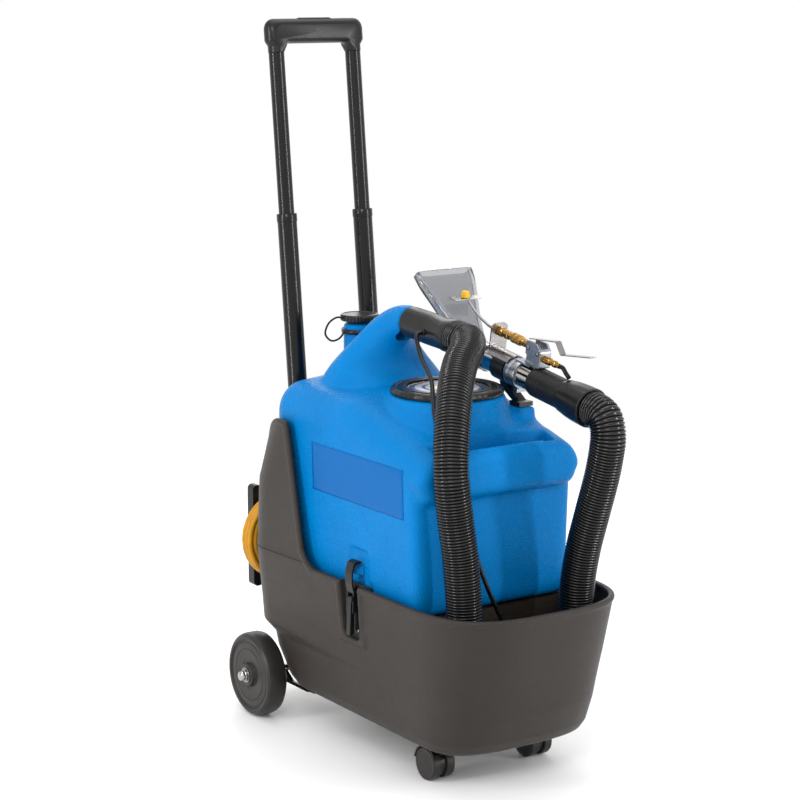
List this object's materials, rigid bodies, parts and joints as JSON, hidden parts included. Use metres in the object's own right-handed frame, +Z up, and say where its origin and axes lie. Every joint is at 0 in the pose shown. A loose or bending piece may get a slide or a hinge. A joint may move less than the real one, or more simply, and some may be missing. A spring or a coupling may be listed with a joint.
{
  "type": "carpet cleaner machine",
  "caption": "Portable spot carpet extractor: wheeled charcoal tub, blue latched tank, telescoping handle, corrugated vacuum hose and upholstery wand.",
  "frame": {"origin": "on the floor, under the middle of the machine", "axes": "+Z up; -Y towards the caster end where the hose is parked; +X to the wand's side"},
  "size_m": [0.394, 0.69, 1.135],
  "materials": {
    "tub_plastic": "moulded charcoal, fine grain",
    "tank_plastic": "moulded bright blue, fine stipple",
    "black_plastic": "satin black",
    "hose_plastic": "glossy black corrugated",
    "line_plastic": "smooth black tubing",
    "tyre_rubber": "dull black",
    "grip_rubber": "dull black",
    "handle_tube": "gloss black powder coat",
    "zinc_steel": "bright zinc plate",
    "motor_housing": "cast, matt",
    "chrome_tube": "polished",
    "brass": "turned, bright",
    "clear_plastic": "clear, lightly smoked",
    "yellow_plastic": "moulded yellow",
    "cord_jacket": "yellow cord jacket",
    "switch_red": "moulded red"
  },
  "bodies": {
    "machine": {"base_tub": "tub_plastic", "motor_deck": "black_plastic", "vacuum_motor": "motor_housing", "solution_pump": "black_plastic", "tank": "tank_plastic", "lid_window": "clear_plastic", "float_cage": "black_plastic", "duct_cuff": "black_plastic", "cap_tether": "black_plastic", "wand_tube": "chrome_tube", "wand_head": "clear_plastic", "wand_grip": "grip_rubber", "wand_cuff": "black_plastic", "wand_clip": "black_plastic", "jet_bracket": "zinc_steel", "spray_nozzle": "yellow_plastic", "feed_tube": "zinc_steel", "brass_coupling": "brass", "coupling_bracket": "zinc_steel", "valve_block": "zinc_steel", "valve_clamp": "zinc_steel", "inlet_fitting": "brass", "valve_line": "line_plastic", "vacuum_hose": "hose_plastic", "solution_line": "line_plastic", "line_coupler": "brass", "handle_outer_left": "handle_tube", "handle_outer_right": "handle_tube", "handle_bracket": "black_plastic", "rear_axle": "zinc_steel", "axle_bracket": "zinc_steel", "cap_nut_left": "zinc_steel", "cap_nut_right": "zinc_steel", "latch_base_left": "black_plastic", "latch_base_right": "black_plastic", "cord_wrap": "black_plastic", "strain_relief": "grip_rubber", "power_cord_coil": "cord_jacket", "power_cord_lead": "cord_jacket", "power_plug": "yellow_plastic"},
    "wheel_left": {"rear_wheel_left": "tyre_rubber"},
    "wheel_right": {"rear_wheel_right": "tyre_rubber"},
    "caster_left": {"caster_fork_left": "black_plastic"},
    "caster_left_wheels": {"caster_wheels_left": "tyre_rubber"},
    "caster_right": {"caster_fork_right": "black_plastic"},
    "caster_right_wheels": {"caster_wheels_right": "tyre_rubber"},
    "handle": {"handle_inner_left": "handle_tube", "handle_inner_right": "handle_tube", "handle_grip": "black_plastic"},
    "handle_button": {"grip_button": "black_plastic"},
    "latch_lever_left_body": {"latch_lever_left": "black_plastic"},
    "latch_hook_left_body": {"latch_hook_left": "black_plastic"},
    "latch_lever_right_body": {"latch_lever_right": "black_plastic"},
    "latch_hook_right_body": {"latch_hook_right": "black_plastic"},
    "lid": {"lid_ring": "black_plastic"},
    "cap": {"filler_cap": "black_plastic"},
    "float": {"float_ball": "yellow_plastic"},
    "trigger": {"trigger_lever": "zinc_steel"},
    "vacuum_switch_rocker": {"vacuum_switch": "switch_red"},
    "pump_switch_rocker": {"pump_switch": "switch_red"}
  },
  "joints": [
    {"name": "rear_wheel_left_spin", "type": "hinge", "parent": "machine", "child": "wheel_left", "pos_m": [-0.162, 0.245, 0.069], "axis": [1, 0, 0], "continuous": true},
    {"name": "rear_wheel_right_spin", "type": "hinge", "parent": "machine", "child": "wheel_right", "pos_m": [0.162, 0.245, 0.069], "axis": [1, 0, 0], "continuous": true},
    {"name": "caster_left_swivel", "type": "hinge", "parent": "machine", "child": "caster_left", "pos_m": [-0.093, -0.154, 0.0254], "axis": [0, 0, 1], "continuous": true},
    {"name": "caster_left_spin", "type": "hinge", "parent": "caster_left", "child": "caster_left_wheels", "pos_m": [-0.093, -0.17, 0.0254], "axis": [1, 0, 0], "continuous": true},
    {"name": "caster_right_swivel", "type": "hinge", "parent": "machine", "child": "caster_right", "pos_m": [0.093, -0.154, 0.0254], "axis": [0, 0, 1], "continuous": true},
    {"name": "caster_right_spin", "type": "hinge", "parent": "caster_right", "child": "caster_right_wheels", "pos_m": [0.093, -0.17, 0.0254], "axis": [1, 0, 0], "continuous": true},
    {"name": "handle_slide", "type": "slide", "parent": "machine", "child": "handle", "axis": [0, -0.1059, -0.9944], "range_m": [0, 0.24]},
    {"name": "button_press", "type": "slide", "parent": "handle", "child": "handle_button", "axis": [0, -0.1059, -0.9944], "range_m": [0, 0.003], "stiffness_N_per_m": 400},
    {"name": "latch_left_lever_turn", "type": "hinge", "parent": "machine", "child": "latch_lever_left_body", "pos_m": [-0.1595, -0.038, 0.262], "axis": [0, 1, 0], "range_deg": [0, 150]},
    {"name": "latch_left_hook_turn", "type": "hinge", "parent": "latch_lever_left_body", "child": "latch_hook_left_body", "pos_m": [-0.1595, -0.038, 0.245], "axis": [0, 1, 0], "range_deg": [-150, 0]},
    {"name": "latch_right_lever_turn", "type": "hinge", "parent": "machine", "child": "latch_lever_right_body", "pos_m": [0.1595, -0.038, 0.262], "axis": [0, -1, 0], "range_deg": [0, 150]},
    {"name": "latch_right_hook_turn", "type": "hinge", "parent": "latch_lever_right_body", "child": "latch_hook_right_body", "pos_m": [0.1595, -0.038, 0.245], "axis": [0, -1, 0], "range_deg": [-150, 0]},
    {"name": "lid_ring_turn", "type": "hinge", "parent": "machine", "child": "lid", "pos_m": [0, -0.065, 0.58], "axis": [0, 0, 1], "range_deg": [0, 120]},
    {"name": "filler_cap_turn", "type": "hinge", "parent": "machine", "child": "cap", "pos_m": [0, 0.181, 0.655], "axis": [0, 0, 1], "range_deg": [0, 90]},
    {"name": "float_rise", "type": "slide", "parent": "machine", "child": "float", "axis": [0, 0, 1], "range_m": [0, 0.035]},
    {"name": "trigger_press", "type": "hinge", "parent": "machine", "child": "trigger", "pos_m": [0.117, -0.13095, 0.65045], "axis": [1, 0, 0], "range_deg": [0, 6], "stiffness_Nm_per_rad": 0.6, "springref_deg": -2.86},
    {"name": "vacuum_switch_rock", "type": "hinge", "parent": "machine", "child": "vacuum_switch_rocker", "pos_m": [0.035, 0.285, 0.378], "axis": [1, 0, 0], "range_deg": [-8, 8]},
    {"name": "pump_switch_rock", "type": "hinge", "parent": "machine", "child": "pump_switch_rocker", "pos_m": [0.068, 0.285, 0.378], "axis": [1, 0, 0], "range_deg": [-8, 8]}
  ],
  "couplings": [
    {"joint": "latch_left_hook_turn", "follows": "latch_left_lever_turn", "ratio": -1},
    {"joint": "latch_right_hook_turn", "follows": "latch_right_lever_turn", "ratio": -1}
  ]
}
